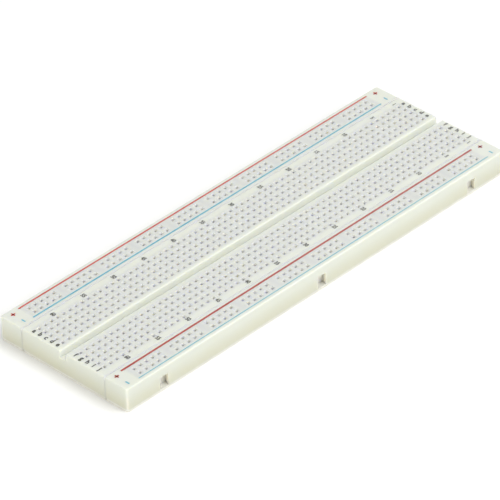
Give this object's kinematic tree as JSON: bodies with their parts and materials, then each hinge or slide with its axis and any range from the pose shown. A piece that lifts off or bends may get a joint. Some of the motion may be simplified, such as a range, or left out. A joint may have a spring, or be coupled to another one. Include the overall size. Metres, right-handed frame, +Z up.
{
  "type": "solderless breadboard",
  "caption": "Long white plug-in prototyping board: a terminal block with a centre trough, and a power rail hooked to each long side, over spring contacts and a foam backing.",
  "frame": {"origin": "centre of the resting face, under the middle of the three mouldings, tabs left out", "axes": "+X along the board towards column 1, +Y towards row a and the left rail, +Z up out of the hole face"},
  "size_m": [0.165, 0.0563, 0.0085],
  "materials": {
    "housing_plastic": "moulded ABS, fine satin, off-white",
    "contact_metal": "nickel-plated phosphor bronze, as stamped",
    "backing_foam": "closed-cell foam tape, white",
    "liner_paper": "waxed release paper"
  },
  "bodies": {
    "right_rail": {"right_rail_housing": "housing_plastic", "bus_strip_right_plus": "contact_metal", "bus_strip_right_minus": "contact_metal", "foam_pad_right_rail": "backing_foam", "release_liner_right_rail": "liner_paper"},
    "terminal_block": {"terminal_block_housing": "housing_plastic", "clips_a_e_01_05": "contact_metal", "clips_a_e_06_10": "contact_metal", "clips_a_e_11_15": "contact_metal", "clips_a_e_16_20": "contact_metal", "clips_a_e_21_25": "contact_metal", "clips_a_e_26_30": "contact_metal", "clips_a_e_31_35": "contact_metal", "clips_a_e_36_40": "contact_metal", "clips_a_e_41_45": "contact_metal", "clips_a_e_46_50": "contact_metal", "clips_a_e_51_55": "contact_metal", "clips_a_e_56_60": "contact_metal", "clips_a_e_61_63": "contact_metal", "clips_f_j_01_05": "contact_metal", "clips_f_j_06_10": "contact_metal", "clips_f_j_11_15": "contact_metal", "clips_f_j_16_20": "contact_metal", "clips_f_j_21_25": "contact_metal", "clips_f_j_26_30": "contact_metal", "clips_f_j_31_35": "contact_metal", "clips_f_j_36_40": "contact_metal", "clips_f_j_41_45": "contact_metal", "clips_f_j_46_50": "contact_metal", "clips_f_j_51_55": "contact_metal", "clips_f_j_56_60": "contact_metal", "clips_f_j_61_63": "contact_metal", "foam_pad_terminal_block": "backing_foam", "release_liner_terminal_block": "liner_paper"},
    "left_rail": {"left_rail_housing": "housing_plastic", "bus_strip_left_plus": "contact_metal", "bus_strip_left_minus": "contact_metal", "foam_pad_left_rail": "backing_foam", "release_liner_left_rail": "liner_paper"}
  },
  "joints": [
    {"name": "terminal_block_lift", "type": "slide", "parent": "right_rail", "child": "terminal_block", "axis": [0, 0, 1], "range_m": [0, 0.01]},
    {"name": "left_rail_lift", "type": "slide", "parent": "terminal_block", "child": "left_rail", "axis": [0, 0, 1], "range_m": [0, 0.01]}
  ]
}
